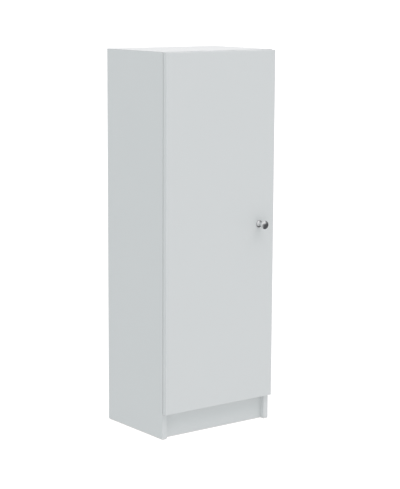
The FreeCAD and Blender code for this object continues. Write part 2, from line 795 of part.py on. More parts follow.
def hinge_arm(name, z):
    """A channel arm: its wings run forward to a rounded nose that carries the link's pin."""
    body = doc.addObject("PartDesign::Body", f"{name}_hinge_arm")
    place(body, door_left, door_back, z)
    low = side_face + s.arm_lift
    nose = s.arm_nose / 2
    web = s.arm_web_start
    far = web + s.arm_length
    profile = sketch_on(body, "XY_Plane")
    polygon(profile, [
        (low, far), (low, web + s.arm_nose_slope), (s.arm_pin_from_edge - nose, web),
        (s.arm_pin_from_edge - nose, -s.arm_pin_depth), (s.arm_pin_from_edge + nose, -s.arm_pin_depth),
        (arm_top, web), (arm_top, far),
    ])
    pad(body, profile, s.arm_width, both=True)
    ease(body, s.arm_bend + s.arm_sheet, lambda edge: along_depth(edge) and lies_on(edge, "X", arm_top))
    tip = sketch_on(body, "XY_Plane")
    circle(tip, s.arm_pin_from_edge, -s.arm_pin_depth, s.arm_nose)
    pad(body, tip, s.arm_width, both=True)
    reach = s.arm_pin_depth + s.arm_nose
    hollow = s.arm_width - s.arm_sheet * 2
    inside = sketch_on(body, "XY_Plane")
    rectangle(inside, side_face, -reach, arm_top - s.arm_sheet - side_face, reach + far)
    pocket(body, inside, hollow, both=True)
    slit = sketch_on(body, "XY_Plane")
    rectangle(slit, side_face, -reach, s.arm_height, reach + web)
    pocket(body, slit, hollow, both=True)
    ease(body, s.arm_bend, lambda edge: along_depth(edge) and lies_on(edge, "X", arm_top - s.arm_sheet))
    eye = sketch_on(body, "XY_Plane")
    circle(eye, s.arm_pin_from_edge, -s.arm_pin_depth, hinge_bore)
    pocket(body, eye, s.arm_width, both=True)
    screws = ((s.arm_screw_from_front, s.arm_screw_diameter), (s.adjuster_from_front, s.adjuster_diameter))
    for distance, diameter in screws:
        spot = (s.door_gap + distance, 0)
        drill(body, "right", arm_top, [spot], diameter + s.fastener_clearance * 2, s.arm_sheet)
    pieces.append(body)


def hinge_plate(name, z):
    """A winged plate on the side, with the rail that the arm sits over."""
    body = doc.addObject("PartDesign::Body", f"{name}_hinge_plate")
    place(body, door_left + side_face, door_back, z)
    wings = sketch_on(body, "YZ_Plane")
    rectangle(wings, plate_line - s.plate_wing_width / 2, -s.plate_wing_length / 2, s.plate_wing_width,
              s.plate_wing_length)
    pad(body, wings, s.plate_thickness)
    ease(body, s.plate_wing_round, crosswise)
    rail = sketch_on(body, "YZ_Plane")
    half = s.arm_width / 2 - s.arm_sheet - s.rail_clearance
    rail_top = s.arm_height - s.arm_sheet - s.rail_clearance
    rectangle(rail, s.rail_start, -half, s.rail_length, half * 2)
    pad(body, rail, rail_top)
    holes = [(plate_line, turn) for turn in either_way(s.plate_screw_pitch)]
    drill(body, "right", s.plate_thickness, holes, s.plate_screw_diameter + s.fastener_clearance * 2,
          s.plate_thickness)
    drill(body, "right", rail_top, [(s.door_gap + s.arm_screw_from_front, 0)],
          s.arm_screw_diameter + s.fastener_clearance * 2, s.arm_screw_length)
    pieces.append(body)


def hinge_fasteners():
    """The screws, adjusters and pins of both hinges, each kind as one group."""
    kinds = ("cup_screws", "plate_screws", "arm_screws", "adjusters", "cup_pins", "arm_pins")
    made = {kind: [] for kind in kinds}
    cup_screw_x = door_left + cup_centre + s.cup_screw_offset
    cup_screw_y = door_back + s.cup_flange_thickness
    plate_screw_x = door_left + side_face + s.plate_thickness
    arm_crown = door_left + arm_top
    for name, z in hinge_levels.items():
        for side, turn in zip(("below", "above"), either_way(s.cup_screw_pitch)):
            made["cup_screws"].append(screw(
                f"cup_screw_{name}_{side}", (cup_screw_x, cup_screw_y, z + turn), "-y",
                s.cup_screw_diameter, s.cup_screw_length, s.cup_screw_head, s.cup_screw_head_height))
        for side, turn in zip(("below", "above"), either_way(s.plate_screw_pitch)):
            made["plate_screws"].append(screw(
                f"plate_screw_{name}_{side}", (plate_screw_x, door_back + plate_line, z + turn), "-x",
                s.plate_screw_diameter, s.plate_screw_length, s.plate_screw_head, s.plate_screw_head_height))
        made["arm_screws"].append(screw(
            f"arm_screw_{name}", (arm_crown, front + s.arm_screw_from_front, z), "-x",
            s.arm_screw_diameter, s.arm_screw_length, s.arm_screw_head, s.arm_screw_head_height))
        made["adjusters"].append(rod(
            f"adjuster_{name}", s.adjuster_diameter,
            (arm_crown + s.adjuster_stand, front + s.adjuster_from_front, z), "-x",
            s.adjuster_stand + s.arm_sheet + s.rail_clearance))
        made["cup_pins"].append(rod(
            f"cup_pin_{name}", s.hinge_pin_diameter,
            (door_left + s.cup_pin_from_edge, door_back - s.cup_pin_depth, z - s.cup_pin_length / 2), "z",
            s.cup_pin_length))
        made["arm_pins"].append(rod(
            f"arm_pin_{name}", s.hinge_pin_diameter,
            (door_left + s.arm_pin_from_edge, door_back - s.arm_pin_depth, z - s.arm_width / 2), "z",
            s.arm_width))
    for kind, solids in made.items():
        pieces.append(group(f"hinge_{kind}", solids))


def arc_between(sketch, centre, start, end, turning):
    """An arc drawn from start to end; gives its number and which of its ends those points are."""
    circle_of = Part.Circle(centre, Vector(0, 0, 1), (start - centre).Length)
    first, last = (start, end) if turning == "left" else (end, start)
    arc = Part.ArcOfCircle(circle_of, circle_of.parameter(first), circle_of.parameter(last))
    edge = sketch.addGeometry(arc)
    return (edge, 1, 2) if turning == "left" else (edge, 2, 1)


def knob():
    """A turned knob: flat base, coved neck, mushroom head with a tangent crown; bored for its screw."""
    body = doc.addObject("PartDesign::Body", "knob")
    place(body, door_left + door_width - s.knob_from_edge, door_front, s.knob_height)
    base = s.knob_base / 2
    neck = s.knob_neck / 2
    head = s.knob_head / 2
    rim = -s.knob_base_rim
    equator = -s.knob_equator
    tip = -s.knob_reach
    cove_end = rim - (base - neck)
    shape = sketch_on(body, "XY_Plane")
    axis = shape.addGeometry(Part.LineSegment(flat(0, tip), flat(0, 0)))
    back = shape.addGeometry(Part.LineSegment(flat(0, 0), flat(base, 0)))
    edge = shape.addGeometry(Part.LineSegment(flat(base, 0), flat(base, rim)))
    cove, cove_from, cove_to = arc_between(
        shape, flat(base, cove_end), flat(base, rim), flat(neck, cove_end), "left")
    waist = shape.addGeometry(Part.LineSegment(flat(neck, cove_end), flat(neck, -s.knob_neck_end)))
    overhang = (head - neck).value
    drop = (s.knob_equator - s.knob_neck_end).value
    bulge = (overhang ** 2 + drop ** 2) / (2 * overhang)
    under_centre = Vector(head.value - bulge, equator.value, 0)
    under, under_from, under_to = arc_between(
        shape, under_centre, flat(neck, -s.knob_neck_end), flat(head, equator), "right")
    shoulder_centre = flat(head - s.knob_shoulder, equator)
    rise = (s.knob_reach - s.knob_equator).value
    run = (head - s.knob_shoulder).value
    crown_radius = (run ** 2 + rise ** 2 - s.knob_shoulder.value ** 2) / (2 * (rise - s.knob_shoulder.value))
    crown_centre = Vector(0, crown_radius - s.knob_reach.value, 0)
    meeting = crown_centre + (shoulder_centre - crown_centre).normalize() * crown_radius
    shoulder, shoulder_from, shoulder_to = arc_between(
        shape, shoulder_centre, flat(head, equator), meeting, "right")
    crown, crown_from, crown_to = arc_between(shape, crown_centre, meeting, flat(0, tip), "right")
    chain = [
        (axis, 1, 2), (back, 1, 2), (edge, 1, 2), (cove, cove_from, cove_to), (waist, 1, 2),
        (under, under_from, under_to), (shoulder, shoulder_from, shoulder_to), (crown, crown_from, crown_to),
    ]
    for (one, _, end), (other, start, _) in zip(chain, chain[1:] + chain[:1]):
        if (one, other) == (shoulder, crown):
            shape.addConstraint(Sketcher.Constraint("Tangent", one, end, other, start))
        else:
            shape.addConstraint(Sketcher.Constraint("Coincident", one, end, other, start))
    hold_point(shape, axis, 1, 0, tip)
    hold_point(shape, back, 1, 0, 0)
    hold_point(shape, edge, 1, base, 0)
    hold_point(shape, edge, 2, base, rim)
    hold_point(shape, waist, 1, neck, cove_end)
    hold_point(shape, waist, 2, neck, -s.knob_neck_end)
    hold_point(shape, shoulder, shoulder_from, head, equator)
    shape.addConstraint(Sketcher.Constraint("Vertical", cove, 3, cove, cove_from))
    shape.addConstraint(Sketcher.Constraint("Horizontal", under, 3, under, under_to))
    shape.addConstraint(Sketcher.Constraint("Horizontal", shoulder, 3, shoulder, shoulder_from))
    hold(shape, "Radius", (shoulder,), s.knob_shoulder)
    shape.addConstraint(Sketcher.Constraint("PointOnObject", crown, 3, -2))
    turned = body.newObject("PartDesign::Revolution", "knob_turned")
    turned.Profile = shape
    turned.ReferenceAxis = (shape, ["V_Axis"])
    drill(body, "back", 0, [(0, 0)], s.knob_screw_diameter + s.fastener_clearance * 2,
          s.knob_screw_depth + s.hole_end_clearance)
    pieces.append(body)


def knob_screw():
    seat = (door_left + door_width - s.knob_from_edge, door_back, s.knob_height)
    fixing = screw("knob_screw", seat, "-y", s.knob_screw_diameter, s.door_thickness + s.knob_screw_depth,
                   s.knob_screw_head, s.knob_screw_head_height)
    pieces.append(fixing)


def build():
    side_panel("left_side_panel", left, "right")
    side_panel("right_side_panel", -inner_left, "left")
    deck("base_panel", base_under, "above")
    top = deck("top_panel", top_under, "under")
    plinth_panel()
    back_panel()
    shelf()
    shelf_pins()
    cam_locks()
    cam_bolts()
    dowels()
    floor_glides()
    wall_bracket(top)
    door_panel()
    door_bumpers()
    for name, z in hinge_levels.items():
        hinge_plate(name, z)
        hinge_arm(name, z)
        hinge_link(name, z)
        hinge_cup(name, z)
    hinge_fasteners()
    knob()
    knob_screw()


least_cut = 1e-6  # cubic millimetres; a pocket that takes away less has missed its board


def write():
    """Stops on any broken object or any cut that removed nothing, then writes one file per piece."""
    doc.recompute()
    for thing in doc.Objects:
        if {"Invalid", "Error"} & set(thing.State):
            raise RuntimeError(f"{thing.Label} did not build: {thing.State}")
        if thing.TypeId == "PartDesign::Pocket":
            removed = thing.BaseFeature.Shape.Volume - thing.Shape.Volume
            if removed < least_cut:
                raise RuntimeError(f"{thing.Label} removed nothing")
    for piece in pieces:
        if piece.Shape.isNull() or not piece.Shape.isValid() or not piece.Shape.Solids:
            raise RuntimeError(f"{piece.Label} is not a sound solid")
        piece.Shape.exportStep(f"parts/{piece.Label}.step")


build()
write()
print(f"{len(pieces)} pieces written")
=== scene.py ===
import json
from math import asin, atan2, cos, degrees, pi, radians, sin

import bpy
from mathutils import Matrix, Vector


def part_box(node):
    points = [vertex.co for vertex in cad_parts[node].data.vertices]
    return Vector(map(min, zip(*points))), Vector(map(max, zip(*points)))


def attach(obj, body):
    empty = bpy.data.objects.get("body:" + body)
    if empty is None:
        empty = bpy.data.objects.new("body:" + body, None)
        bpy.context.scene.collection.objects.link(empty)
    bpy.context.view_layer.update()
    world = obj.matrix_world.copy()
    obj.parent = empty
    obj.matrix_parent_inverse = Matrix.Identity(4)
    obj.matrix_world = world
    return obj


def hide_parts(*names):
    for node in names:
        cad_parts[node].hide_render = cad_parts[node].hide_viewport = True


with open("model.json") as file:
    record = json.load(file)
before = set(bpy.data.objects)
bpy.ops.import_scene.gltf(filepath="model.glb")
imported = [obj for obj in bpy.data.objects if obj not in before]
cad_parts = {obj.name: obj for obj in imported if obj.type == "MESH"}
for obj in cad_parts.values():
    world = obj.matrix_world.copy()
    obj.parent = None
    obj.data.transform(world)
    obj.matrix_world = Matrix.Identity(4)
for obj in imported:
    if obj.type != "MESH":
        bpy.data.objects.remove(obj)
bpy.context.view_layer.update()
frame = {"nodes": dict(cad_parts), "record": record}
nodes = frame["nodes"]
bodies = frame["record"]["behaviour"]["bodies"]
bodyOf = {node: body for body, members in bodies.items() for node in members}
mm = 0.001
hairline = 0.1 * mm  # over which one painted area turns into the next
touching = 0.01 * mm  # points this close are in the same place
print("frame loaded:", len(nodes), "nodes")


# One output of a shader node. Sums and products of wires add Math nodes.
class Wire:
    def __init__(self, tree, socket=None):
        self.tree = tree
        self.socket = socket

    # any node: its settings first, then the values or links of its sockets
    def node(self, kind, settings=None, values=None, out=0):
        made = self.tree.nodes.new(kind)
        for name, value in (settings or {}).items():
            if name == "stops":
                made.color_ramp.elements.remove(made.color_ramp.elements[0])
                for place, tint in value[:-1]:
                    made.color_ramp.elements.new(place).color = tint
                made.color_ramp.elements[-1].position = value[-1][0]
                made.color_ramp.elements[-1].color = value[-1][1]
            else:
                setattr(made, name, value)
        for name, value in (values or {}).items():
            if isinstance(value, Wire):
                self.tree.links.new(value.socket, made.inputs[name])
            else:
                made.inputs[name].default_value = value
        return Wire(self.tree, made.outputs[out])

    def maths(self, operation, first, second=0):
        return self.node("ShaderNodeMath", {"operation": operation}, {0: first, 1: second})

    def __add__(self, other):
        return self.maths("ADD", self, other)

    def __radd__(self, other):
        return self.maths("ADD", other, self)

    def __sub__(self, other):
        return self.maths("SUBTRACT", self, other)

    def __rsub__(self, other):
        return self.maths("SUBTRACT", other, self)

    def __mul__(self, other):
        return self.maths("MULTIPLY", self, other)

    def __rmul__(self, other):
        return self.maths("MULTIPLY", other, self)

    # between two colours, by this wire; 6, 7 and 2 are the Mix node's colour sockets
    def mix(self, first, second):
        sockets = {0: self, 6: first, 7: second}
        return self.node("ShaderNodeMix", {"data_type": "RGBA"}, sockets, out=2)

    # 0 below the first value, 1 above the second
    def between(self, low, high):
        sockets = {"Value": self, "From Min": low, "From Max": high}
        return self.node("ShaderNodeMapRange", {"interpolation_type": "SMOOTHSTEP"}, sockets)

    # 1 from the low value to the high one, 0 outside
    def within(self, low, high):
        return self.between(low - hairline, low) * (1 - self.between(high, high + hairline))

    # noise on this wire's coordinates; scale is in features to the metre
    def noise(self, scale, detail=2, out=0):
        sockets = {"Vector": self, "Scale": scale, "Detail": detail}
        return self.node("ShaderNodeTexNoise", None, sockets, out)

    # a colour from this wire, as the ramp's stops give it
    def ramp(self, stops):
        return self.node("ShaderNodeValToRGB", {"stops": stops}, {"Fac": self})

    def vector(self, operation, sockets, out=0):
        return self.node("ShaderNodeVectorMath", {"operation": operation}, sockets, out)

    def stretched(self, x, y, z):
        return self.node("ShaderNodeMapping", None, {"Vector": self, "Scale": (x, y, z)})

    # this vector's parts, one wire each
    def parts(self, axes="XYZ"):
        return [self.node("ShaderNodeSeparateXYZ", None, {"Vector": self}, axis) for axis in axes]

    def bump(self, strength, depth):
        sockets = {"Height": self, "Strength": strength, "Distance": depth}
        return self.node("ShaderNodeBump", None, sockets)


def colour(red, green, blue):
    return (red, green, blue, 1)


# A new material, and its object coordinates as a wire
def startFinish(name):
    material = bpy.data.materials.new(name)
    material.use_nodes = True
    place = Wire(material.node_tree).node("ShaderNodeTexCoord", out="Object")
    return material, place


# Sets the shader's sockets, by link or by plain value
def endFinish(material, **sockets):
    tree = material.node_tree
    shader = tree.nodes["Principled BSDF"]
    for name, value in sockets.items():
        socket = shader.inputs[name.replace("_", " ")]
        if isinstance(value, Wire):
            tree.links.new(value.socket, socket)
        else:
            socket.default_value = value
    return material


knobLow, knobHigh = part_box("knob")
knobSeat = ((knobLow.x + knobHigh.x) / 2, knobHigh.y, (knobLow.z + knobHigh.z) / 2)

pearlLook = {"scale": 1400, "detail": 3}  # the pressed grain of white boards, under a millimetre

melamineLook = {
    "white": colour(0.751, 0.768, 0.771), "cloud": colour(0.738, 0.756, 0.760), "cloudScale": 5,
    "pearlStrength": 0.25, "pearlDepth": 0.03 * mm,
    "roughness": 0.46, "mottle": 0.08, "mottleScale": 45,
    "handled": (0.03, 0.11), "polish": 0.12,  # metres from the knob, and how far hands smooth it
}


# White melamine: pressed pearl grain, faint clouding, a little smoother where hands reach for the knob
def melamineFinish(look):
    material, place = startFinish("whiteMelamine")
    mottle = place.noise(look["mottleScale"])
    reach = place.vector("DISTANCE", {0: place, 1: knobSeat}, "Value")
    handled = 1 - reach.between(*look["handled"])
    return endFinish(
        material,
        Base_Color=place.noise(look["cloudScale"]).mix(look["white"], look["cloud"]),
        Roughness=look["roughness"] + (mottle - 0.5) * look["mottle"] - handled * mottle * look["polish"],
        Normal=place.noise(**pearlLook).bump(look["pearlStrength"], look["pearlDepth"]),
    )


bandLook = {
    "white": colour(0.759, 0.774, 0.777), "streak": colour(0.742, 0.758, 0.762),
    "drawn": (1, 1, 0.02), "lineScale": 900, "lineStrength": 0.1, "lineDepth": 0.01 * mm,
    "roughness": 0.36, "uneven": 0.08,
}


# The plastic strip on a board's edge: smoother than the face, with faint drawn lines along it
def bandFinish(look):
    material, place = startFinish("edgeBand")
    lines = place.stretched(*look["drawn"]).noise(look["lineScale"])
    return endFinish(
        material,
        Base_Color=lines.mix(look["white"], look["streak"]),
        Roughness=look["roughness"] + lines * look["uneven"],
        Normal=lines.bump(look["lineStrength"], look["lineDepth"]),
    )


glueLook = {
    "dark": colour(0.46, 0.44, 0.40), "pale": colour(0.60, 0.585, 0.55),
    "scale": 260, "detail": 3, "roughness": 0.5, "uneven": 0.2,
}


# The hairline of glue between strip and board
def glueFinish(look):
    material, place = startFinish("glueLine")
    patches = place.noise(look["scale"], look["detail"])
    return endFinish(
        material,
        Base_Color=patches.mix(look["dark"], look["pale"]),
        Roughness=look["roughness"] + patches * look["uneven"],
    )


chipLook = {
    "stops": [
        (0.10, colour(0.17, 0.105, 0.055)),
        (0.42, colour(0.40, 0.28, 0.165)),
        (0.70, colour(0.56, 0.42, 0.265)),
        (0.95, colour(0.66, 0.53, 0.365)),
    ],
    "flat": 3.2,  # how much thinner than long a flake is
    "layers": ((300, 0.42), (850, 0.33)),  # flakes to the metre along the board, and their weight
    "dustScale": 2600, "dustDetail": 3, "dustWeight": 0.25,
    "raggedScale": 1300, "ragged": 0.9 * mm,
    "roughness": 0.9, "smoother": 0.15,
    "strength": 0.7, "depth": 0.15 * mm,
}


# Raw particle board, as on unbanded edges and in drilled holes: ragged flakes that lie flat in the board
def chipFinish(look, thin):
    material, place = startFinish("rawChipboard" + thin)
    tears = place.noise(look["raggedScale"], out="Color")
    tears = place.vector("SCALE", {0: tears, "Scale": look["ragged"]})
    torn = place.vector("ADD", {0: place, 1: tears})
    lying = torn.stretched(*[look["flat"] if axis == thin else 1 for axis in "XYZ"])
    amount = place.noise(look["dustScale"], look["dustDetail"]) * look["dustWeight"]
    for scale, weight in look["layers"]:
        flakes = place.node("ShaderNodeTexVoronoi", None, {"Vector": lying, "Scale": scale}, "Color")
        amount = amount + place.node("ShaderNodeSeparateColor", None, {"Color": flakes}) * weight
    return endFinish(
        material,
        Base_Color=amount.ramp(look["stops"]),
        Roughness=look["roughness"] - amount * look["smoother"],
        Normal=amount.bump(look["strength"], look["depth"]),
    )


backLow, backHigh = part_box("back_panel")

hardboardLook = {
    "foil": colour(0.745, 0.757, 0.757), "foilCloud": colour(0.728, 0.742, 0.743), "foilScale": 6,
    "foilEdge": (backLow.y + backHigh.y) / 2,  # foiled in front of this, bare behind it
    "foilRelief": 0.2,
    "fibreStops": [
        (0.25, colour(0.215, 0.125, 0.066)),
        (0.50, colour(0.300, 0.185, 0.100)),
        (0.78, colour(0.385, 0.250, 0.145)),
    ],
    "fibreRun": (1, 1, 0.35), "fibreScale": 520, "fibreDetail": 5,
    "screenPitch": 1.6 * mm, "screenRelief": 0.5,
    "roughness": 0.48, "bareRoughness": 0.3, "uneven": 0.08,
    "strength": 0.5, "depth": 0.08 * mm,
}


# Hardboard: white foil towards the inside, bare brown fibre with its pressing-screen mark behind
def hardboardFinish(look):
    material, place = startFinish("whiteHardboard")
    across, deep, up = place.parts()
    bare = deep.between(look["foilEdge"], look["foilEdge"] + hairline)
    fibre = place.stretched(*look["fibreRun"]).noise(look["fibreScale"], look["fibreDetail"])
    foil = place.noise(look["foilScale"]).mix(look["foil"], look["foilCloud"])
    turn = 2 * pi / look["screenPitch"]
    screen = place.maths("SINE", across * turn) * place.maths("SINE", up * turn)
    bareRelief = bare * (screen * look["screenRelief"] + fibre)
    foilRelief = (1 - bare) * place.noise(**pearlLook) * look["foilRelief"]
    return endFinish(
        material,
        Base_Color=bare.mix(foil, fibre.ramp(look["fibreStops"])),
        Roughness=look["roughness"] + bare * look["bareRoughness"] + fibre * look["uneven"],
        Normal=(bareRelief + foilRelief).bump(look["strength"], look["depth"]),
    )


# What all plated pieces share: blotches or drawn lines, and a finer grain over them
platingLook = {
    "patchDetail": 4, "strength": 0.2,
    "finer": 4, "fineDetail": 2, "fineRoughness": 0.04, "fineRelief": 0.5,
}
metalLooks = {
    "polishedChrome": {
        "light": colour(0.80, 0.81, 0.82), "dark": colour(0.70, 0.71, 0.725),
        "scale": 140, "stretch": (1, 1, 1), "roughness": 0.03, "spread": 0.06, "depth": 0.004 * mm,
    },
    "nickelSteel": {
        "light": colour(0.78, 0.765, 0.74), "dark": colour(0.73, 0.715, 0.69),
        "scale": 700, "stretch": (1, 0.06, 1), "roughness": 0.14, "spread": 0.09, "depth": 0.0015 * mm,
    },
    "zincPlate": {
        "light": colour(0.73, 0.75, 0.79), "dark": colour(0.62, 0.615, 0.575),
        "scale": 380, "stretch": (1, 1, 1), "roughness": 0.24, "spread": 0.16, "depth": 0.015 * mm,
    },
    "castZinc": {
        "light": colour(0.55, 0.55, 0.555), "dark": colour(0.43, 0.43, 0.435),
        "scale": 1500, "stretch": (1, 1, 1), "roughness": 0.42, "spread": 0.2, "depth": 0.05 * mm,
    },
}


# Plated metal: two tones in drawn or blotchy patches, with the roughness following them
def metalFinish(name, look):
    material, place = startFinish(name)
    patches = place.stretched(*look["stretch"]).noise(look["scale"], platingLook["patchDetail"])
    fine = place.noise(look["scale"] * platingLook["finer"], platingLook["fineDetail"])
    relief = patches + fine * platingLook["fineRelief"]
    return endFinish(
        material,
        Base_Color=patches.mix(look["dark"], look["light"]),
        Metallic=1.0,
        Roughness=look["roughness"] + patches * look["spread"] + fine * platingLook["fineRoughness"],
        Normal=relief.bump(platingLook["strength"], look["depth"]),
    )


beechLook = {
    "light": colour(0.63, 0.46, 0.29), "dark": colour(0.47, 0.31, 0.175),
    "grainRun": (0.05, 1, 1), "grainScale": 900, "grainDetail": 5,
    "fleckRun": (0.2, 1, 1), "fleckScale": 2600, "fleckDetail": 1, "flecks": (0.62, 0.72),
    "roughness": 0.55, "uneven": 0.2, "strength": 0.4, "depth": 0.06 * mm,
}


# Beech with its grain along the peg
def beechFinish(look):
    material, place = startFinish("beech")
    grain = place.stretched(*look["grainRun"]).noise(look["grainScale"], look["grainDetail"])
    flecks = place.stretched(*look["fleckRun"]).noise(look["fleckScale"], look["fleckDetail"])
    wood = grain.mix(look["dark"], look["light"])
    return endFinish(
        material,
        Base_Color=flecks.between(*look["flecks"]).mix(wood, look["dark"]),
        Roughness=look["roughness"] + grain * look["uneven"],
        Normal=grain.bump(look["strength"], look["depth"]),
    )


# What the moulded pieces share
skinLook = {"scale": 1800, "driftScale": 120, "uneven": 0.1, "strength": 0.2, "depth": 0.02 * mm}
mouldedLooks = {
    "glidePlastic": {
        "light": colour(0.80, 0.80, 0.78), "dark": colour(0.74, 0.74, 0.72),
        "roughness": 0.4, "clear": 0.0,
    },
    "bumperRubber": {
        "light": colour(0.82, 0.83, 0.82), "dark": colour(0.76, 0.77, 0.76),
        "roughness": 0.18, "clear": 0.35,
    },
}


# Moulded plastic or rubber: a pale body colour with a fine skin grain
def mouldedFinish(name, look):
    material, place = startFinish(name)
    skin = place.noise(skinLook["scale"])
    return endFinish(
        material,
        Base_Color=place.noise(skinLook["driftScale"]).mix(look["light"], look["dark"]),
        Roughness=look["roughness"] + skin * skinLook["uneven"],
        Normal=skin.bump(skinLook["strength"], skinLook["depth"]),
        Transmission_Weight=look["clear"],
    )


finishes = {
    "melamine": melamineFinish(melamineLook),
    "band": bandFinish(bandLook),
    "glue": glueFinish(glueLook),
    "hardboard": hardboardFinish(hardboardLook),
    "beech": beechFinish(beechLook),
}
for name, look in mouldedLooks.items():
    finishes[name] = mouldedFinish(name, look)
for name, look in metalLooks.items():
    finishes[name] = metalFinish(name, look)
for thin in "XYZ":  # the axis across the board
    finishes["chip" + thin] = chipFinish(chipLook, thin)
print("finishes made:", len(finishes))


# Just this piece selected and active
def only(piece):
    bpy.ops.object.select_all(action="DESELECT")
    piece.select_set(True)
    bpy.context.view_layer.objects.active = piece


# Into edit mode with everything selected
def edit(piece):
    only(piece)
    bpy.ops.object.mode_set(mode="EDIT")
    bpy.ops.mesh.select_mode(type="FACE")
    bpy.ops.mesh.select_all(action="SELECT")


def done():
    bpy.ops.object.mode_set(mode="OBJECT")


# In edit mode: selects the faces that look the given way, to within 60 degrees
def pickFaces(piece, way):
    bpy.ops.mesh.select_all(action="DESELECT")
    done()
    for face in piece.data.polygons:
        face.select = face.normal.dot(Vector(way)) > cos(radians(60))
    bpy.ops.object.mode_set(mode="EDIT")


# In edit mode: draws the selection out, away from where it was
def extrude(way):
    bpy.ops.mesh.extrude_region_move(TRANSFORM_OT_translate={"value": way})


# A freshly added primitive, with its place and size in its mesh
def started():
    bpy.ops.object.transform_apply(location=True, rotation=True, scale=True)
    return bpy.context.object


def addModifier(piece, kind, **settings):
    modifier = piece.modifiers.new(kind.lower(), kind)
    for name, value in settings.items():
        setattr(modifier, name, value)
    only(piece)
    bpy.ops.object.modifier_apply(modifier=modifier.name)


# Rounds off edges that are sharper than the angle
def easeEdges(piece, width, angle):
    addModifier(piece, "BEVEL", width=width, segments=2, limit_method="ANGLE", angle_limit=radians(angle))


# Smooth shading on round forms; wide flat faces stay flat beside an eased edge
def smoothed(piece, crease=32):
    only(piece)
    bpy.ops.object.shade_smooth_by_angle(angle=radians(crease))
    addModifier(piece, "WEIGHTED_NORMAL", keep_sharp=True)


def paint(piece, *names):
    piece.data.materials.clear()
    for name in names:
        piece.data.materials.append(finishes[name])


# Hands a finished piece to its body, in place of the solids that it stands for
def seat(piece, slot, *replaced):
    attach(piece, bodyOf[replaced[0]])
    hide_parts(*replaced)


mergeLook = {
    "apart": 0.002 * mm,  # points closer than this become one
    "flat": 0.5,  # degrees within which faces become one flat area
}


# A copy of a solid's mesh with its loose triangles merged and flat areas made whole
def copyOf(node, name):
    piece = bpy.data.objects.new(name, nodes[node].data.copy())
    bpy.context.scene.collection.objects.link(piece)
    only(piece)
    bpy.ops.mesh.customdata_custom_splitnormals_clear()
    edit(piece)
    bpy.ops.mesh.remove_doubles(threshold=mergeLook["apart"])
    bpy.ops.mesh.dissolve_limited(angle_limit=radians(mergeLook["flat"]))
    done()
    return piece


# Boxes of the separate solids in a node: triangles that share a corner belong together
def solidBoxes(node):
    mesh = nodes[node].data
    keys = [tuple(round(v / touching) for v in vertex.co) for vertex in mesh.vertices]
    owner = {key: key for key in keys}

    def root(key):
        while owner[key] != key:
            owner[key] = owner[owner[key]]
            key = owner[key]
        return key

    for face in mesh.polygons:
        corners = [keys[index] for index in face.vertices]
        for corner in corners[1:]:
            owner[root(corner)] = root(corners[0])
    groups = {}
    for key, vertex in zip(keys, mesh.vertices):
        groups.setdefault(root(key), []).append(vertex.co)
    boxes = []
    for points in groups.values():
        low = Vector([min(point[axis] for point in points) for axis in range(3)])
        high = Vector([max(point[axis] for point in points) for axis in range(3)])
        boxes.append((low, high))
    return sorted(boxes, key=lambda box: tuple(box[0]))


boardLook = {
    "band": 0.8 * mm,  # the edge strip's thickness
    "glue": 0.12 * mm,  # the glue line behind it
    "skin": 1.2 * mm,  # faces deeper inside than this are cut, so bare
    "banded": {
        "left_side_panel": ("front", "top"),
        "right_side_panel": ("front", "top"),
        "top_panel": ("front",),
        "base_panel": ("front",),
        "plinth_panel": (),
        "shelf": ("front",),
        "door_panel": ("left", "right", "bottom", "top"),
    },
    "bare": {
        "left_side_panel": ("rear", "bottom"),
        "right_side_panel": ("rear", "bottom"),
        "top_panel": ("rear",),
        "base_panel": ("rear",),
        "plinth_panel": ("bottom",),
        "shelf": ("rear",),
        "door_panel": (),
    },
}
boardSides = {  # axis and sense of each side of a board
    "left": (0, -1), "right": (0, 1), "front": (1, -1), "rear": (1, 1), "bottom": (2, -1), "top": (2, 1),
}
boardAreas = ("melamine", "band", "glue", "chip")  # in the order that makeBoard paints them


# How far a point lies inside a board, measured from each of the named sides
def depthsFrom(sides, point, low, high):
    depths = []
    for side in sides:
        axis, sense = boardSides[side]
        depths.append(high[axis] - point[axis] if sense > 0 else point[axis] - low[axis])
    return depths


# Cuts lines round a board, where a strip and its glue end behind one side
def cutBand(side, look, low, high):
    axis, sense = boardSides[side]
    normal = Vector([sense if index == axis else 0 for index in range(3)])
    outer = high if sense > 0 else low
    for depth in (look["band"], look["band"] + look["glue"]):
        bpy.ops.mesh.select_all(action="SELECT")
        bpy.ops.mesh.bisect(plane_co=outer - normal * depth, plane_no=normal)


# What a face of a board shows: strip, glue line, cut board or melamine
def boardArea(node, look, point, low, high):
    strip = min(depthsFrom(look["banded"][node], point, low, high), default=look["skin"])
    edge = min(depthsFrom(look["bare"][node], point, low, high), default=look["skin"])
    if strip < look["band"]:
        return "band"
    if strip < look["band"] + look["glue"]:
        return "glue"
    if edge < touching or min(depthsFrom(boardSides, point, low, high)) > look["skin"]:
        return "chip"
    return "melamine"


# A board with its edge strips, glue lines and bare edges as areas of their own
def makeBoard(node, look):
    piece = copyOf(node, "board." + node)
    low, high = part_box(node)
    edit(piece)
    for side in look["banded"][node]:
        cutBand(side, look, low, high)
    done()
    thin = min(range(3), key=lambda axis: high[axis] - low[axis])
    paint(piece, "melamine", "band", "glue", "chip" + "XYZ"[thin])
    for face in piece.data.polygons:
        face.material_index = boardAreas.index(boardArea(node, look, face.center, low, high))
    smoothed(piece)
    seat(piece, "white_melamine", node)


for node in boardLook["banded"]:
    makeBoard(node, boardLook)
print("boards dressed")

